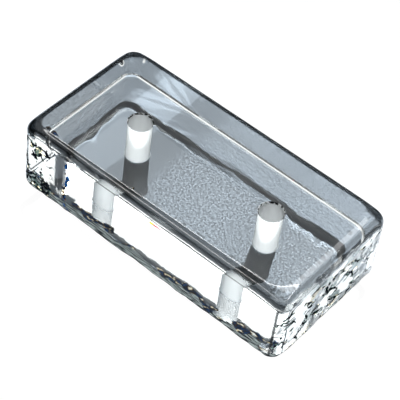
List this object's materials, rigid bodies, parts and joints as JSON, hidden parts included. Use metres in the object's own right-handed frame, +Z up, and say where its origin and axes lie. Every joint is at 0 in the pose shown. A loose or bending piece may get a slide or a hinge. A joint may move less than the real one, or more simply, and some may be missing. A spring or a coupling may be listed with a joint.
{
  "type": "solid glass brick",
  "caption": "Solid cast glass brick with softened edges and frosted drilled through holes for wall tie rods.",
  "frame": {"origin": "centre of the bed face, the flat underside that the brick rests on", "axes": "+X along the length, in line with the row of holes; +Y across the width; +Z up out of the fire-polished top face, along the holes"},
  "size_m": [0.2, 0.1, 0.05],
  "materials": {
    "clear_glass": "clear cast glass, fire-polished top and sides, mould-grained bed face, ground satin hole walls"
  },
  "bodies": {
    "root": {"glass_block": "clear_glass"}
  },
  "joints": []
}
